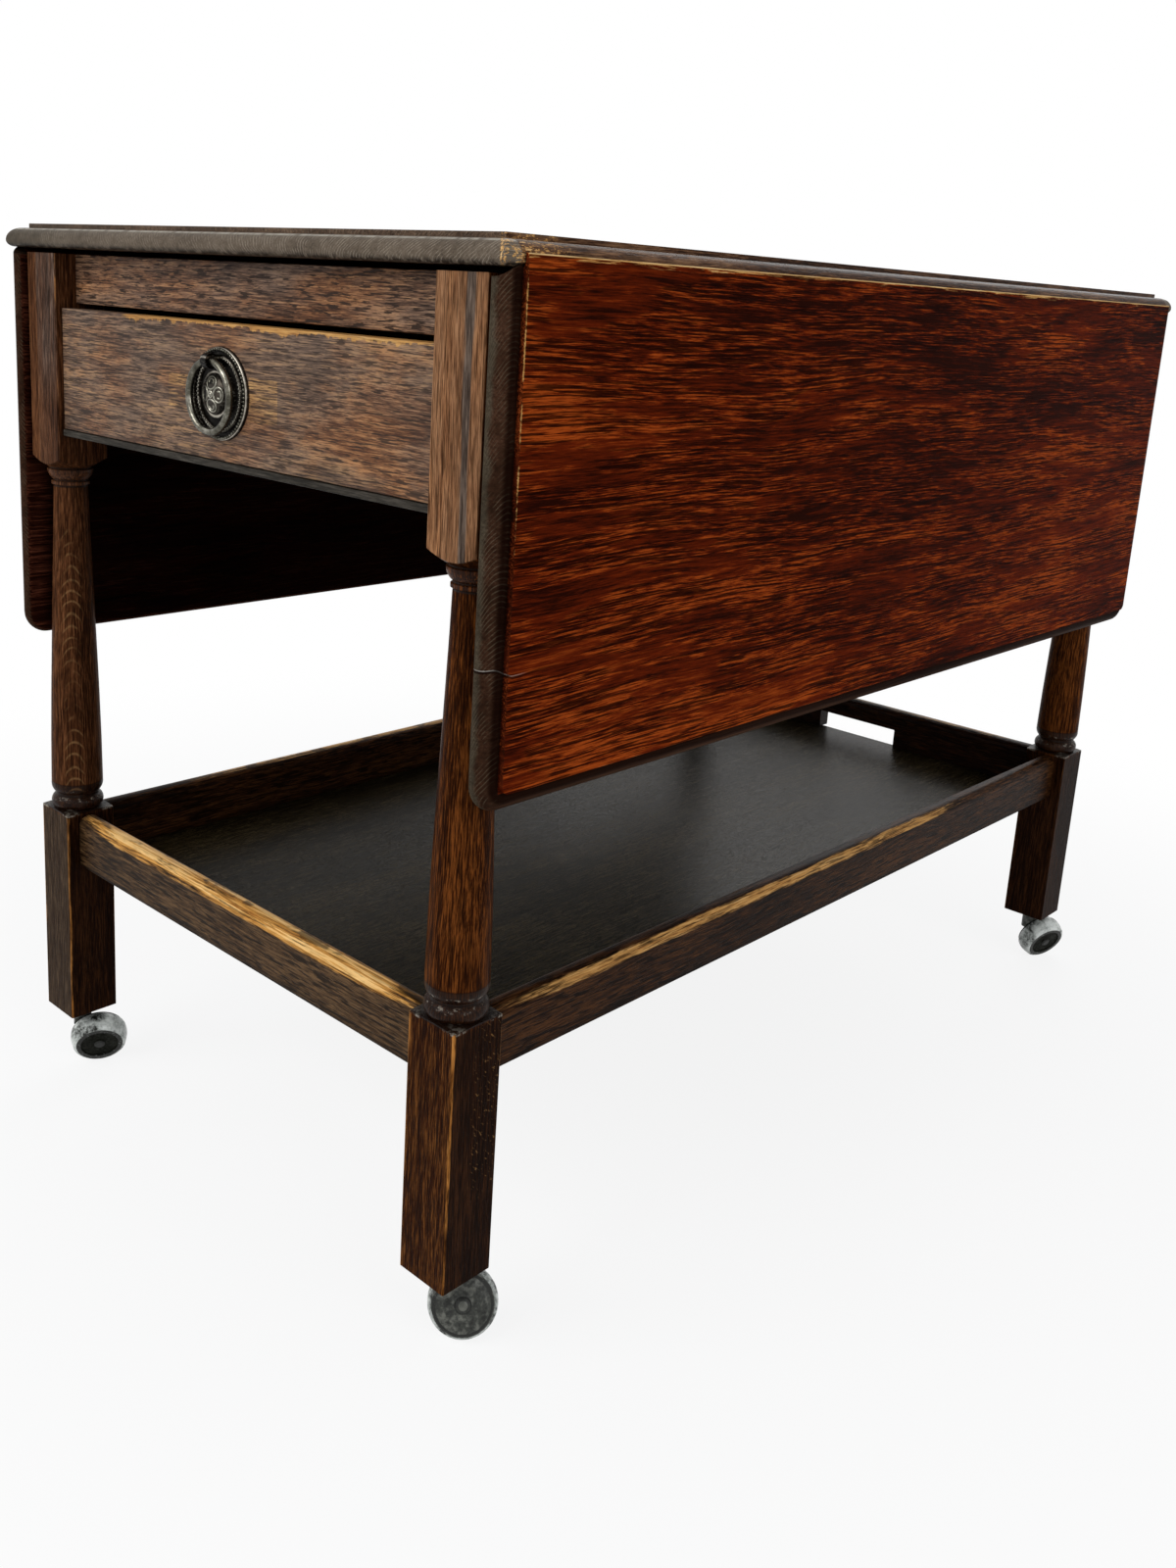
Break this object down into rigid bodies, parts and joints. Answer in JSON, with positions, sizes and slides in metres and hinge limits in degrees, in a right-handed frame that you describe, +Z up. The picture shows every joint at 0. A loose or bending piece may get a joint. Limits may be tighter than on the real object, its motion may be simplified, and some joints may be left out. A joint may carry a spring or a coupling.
{
  "type": "drop leaf tea trolley",
  "caption": "Oak tea trolley with hanging drop leaves on rule joints, turned legs on swivel castors, an end drawer with a ring pull and a low tray with a hand slot",
  "frame": {"origin": "centre of the footprint, on the floor", "axes": "+Z up; the trolley's length lies along Y with the drawer at the -Y end; the leaves hang on -X and +X"},
  "size_m": [0.542, 0.9141, 0.694],
  "materials": {
    "oak_top": "worn dark stain, satin",
    "oak_leaf": "red-brown stain, satin",
    "oak_leg": "dark stain, satin",
    "oak_frame": "dark stain, satin",
    "oak_drawer": "dark stain, satin",
    "oak_tray": "dark stain, worn to bare oak on its top edge",
    "tray_panel": "dark satin",
    "pale_wood": "raw, oiled",
    "antique_metal": "dark antique",
    "hinge_steel": "dull",
    "steel": "dull",
    "castor_steel": "grey hammered, worn",
    "castor_wheel": "olive grey, matt",
    "castor_tyre": "grey, worn"
  },
  "bodies": {
    "frame": {"apron_left": "oak_frame", "apron_right": "oak_frame", "back_apron": "oak_frame", "drawer_bearer": "oak_frame", "drawer_runner_left": "pale_wood", "drawer_runner_right": "pale_wood", "drawer_stop": "pale_wood", "frieze_rail": "oak_frame", "hinge_fixed_left_back": "hinge_steel", "hinge_fixed_left_front": "hinge_steel", "hinge_fixed_right_back": "hinge_steel", "hinge_fixed_right_front": "hinge_steel", "leg_bl": "oak_leg", "leg_br": "oak_leg", "leg_fl": "oak_leg", "leg_fr": "oak_leg", "stay_bracket_left": "steel", "stay_bracket_right": "steel", "top_batten_left": "oak_frame", "top_batten_right": "oak_frame", "top_board": "oak_top", "tray_board": "tray_panel", "tray_rail_back": "oak_tray", "tray_rail_front": "oak_tray", "tray_rail_left": "oak_tray", "tray_rail_right": "oak_tray"},
    "leaf_right_body": {"leaf_right": "oak_leaf", "stay_catch_right": "steel", "hinge_flap_right_front": "hinge_steel", "hinge_flap_right_back": "hinge_steel"},
    "stay_right_body": {"leaf_stay_right": "steel"},
    "leaf_left_body": {"leaf_left": "oak_leaf", "stay_catch_left": "steel", "hinge_flap_left_front": "hinge_steel", "hinge_flap_left_back": "hinge_steel"},
    "stay_left_body": {"leaf_stay_left": "steel"},
    "drawer": {"drawer_front": "oak_drawer", "drawer_side_right": "pale_wood", "drawer_side_left": "pale_wood", "drawer_back": "pale_wood", "drawer_bottom": "pale_wood", "pull_plate": "antique_metal", "pull_nut": "antique_metal"},
    "ring": {"pull_ring": "antique_metal"},
    "castor_fl": {"castor_horn_fl": "castor_steel", "castor_axle_fl": "castor_steel"},
    "wheel_fl": {"castor_wheel_fl": "castor_wheel", "castor_tyre_fl": "castor_tyre"},
    "castor_fr": {"castor_horn_fr": "castor_steel", "castor_axle_fr": "castor_steel"},
    "wheel_fr": {"castor_wheel_fr": "castor_wheel", "castor_tyre_fr": "castor_tyre"},
    "castor_bl": {"castor_horn_bl": "castor_steel", "castor_axle_bl": "castor_steel"},
    "wheel_bl": {"castor_wheel_bl": "castor_wheel", "castor_tyre_bl": "castor_tyre"},
    "castor_br": {"castor_horn_br": "castor_steel", "castor_axle_br": "castor_steel"},
    "wheel_br": {"castor_wheel_br": "castor_wheel", "castor_tyre_br": "castor_tyre"}
  },
  "joints": [
    {"name": "leaf_right_hinge", "type": "hinge", "parent": "frame", "child": "leaf_right_body", "pos_m": [0.2583, 0, 0.6813], "axis": [0, -1, 0], "range_deg": [0, 90]},
    {"name": "leaf_left_hinge", "type": "hinge", "parent": "frame", "child": "leaf_left_body", "pos_m": [-0.2583, 0, 0.6813], "axis": [0, 1, 0], "range_deg": [0, 90]},
    {"name": "stay_right_pivot", "type": "hinge", "parent": "frame", "child": "stay_right_body", "pos_m": [0.244, 0, 0.6363], "axis": [0, -1, 0], "range_deg": [0, 112.5]},
    {"name": "stay_left_pivot", "type": "hinge", "parent": "frame", "child": "stay_left_body", "pos_m": [-0.244, 0, 0.6363], "axis": [0, 1, 0], "range_deg": [0, 112.5]},
    {"name": "drawer_slide", "type": "slide", "parent": "frame", "child": "drawer", "axis": [0, -1, 0], "range_m": [0, 0.28]},
    {"name": "ring_hinge", "type": "hinge", "parent": "drawer", "child": "ring", "pos_m": [0, -0.451, 0.6099], "axis": [-1, 0, 0], "range_deg": [0, 90]},
    {"name": "castor_fl_swivel", "type": "hinge", "parent": "frame", "child": "castor_fl", "pos_m": [-0.2285, -0.4255, 0.053], "axis": [0, 0, 1], "continuous": true},
    {"name": "wheel_fl_spin", "type": "hinge", "parent": "castor_fl", "child": "wheel_fl", "pos_m": [-0.2166, -0.4171, 0.02249], "axis": [-0.8066, 0.4289, 0.4067], "continuous": true},
    {"name": "castor_fr_swivel", "type": "hinge", "parent": "frame", "child": "castor_fr", "pos_m": [0.2285, -0.4255, 0.053], "axis": [0, 0, 1], "continuous": true},
    {"name": "wheel_fr_spin", "type": "hinge", "parent": "castor_fr", "child": "wheel_fr", "pos_m": [0.23281, -0.41159, 0.02249], "axis": [0.6571, -0.6346, 0.4067], "continuous": true},
    {"name": "castor_bl_swivel", "type": "hinge", "parent": "frame", "child": "castor_bl", "pos_m": [-0.2285, 0.4255, 0.053], "axis": [0, 0, 1], "continuous": true},
    {"name": "wheel_bl_spin", "type": "hinge", "parent": "castor_bl", "child": "wheel_bl", "pos_m": [-0.21789, 0.41553, 0.02249], "axis": [-0.8585, -0.3125, 0.4067], "continuous": true},
    {"name": "castor_br_swivel", "type": "hinge", "parent": "frame", "child": "castor_br", "pos_m": [0.2285, 0.4255, 0.053], "axis": [0, 0, 1], "continuous": true},
    {"name": "wheel_br_spin", "type": "hinge", "parent": "castor_br", "child": "wheel_br", "pos_m": [0.23978, 0.43471, 0.02249], "axis": [-0.8346, 0.3716, 0.4067], "continuous": true}
  ],
  "couplings": [
    {"joint": "stay_right_pivot", "follows": "leaf_right_hinge", "ratio": 1.25},
    {"joint": "stay_left_pivot", "follows": "leaf_left_hinge", "ratio": 1.25}
  ]
}
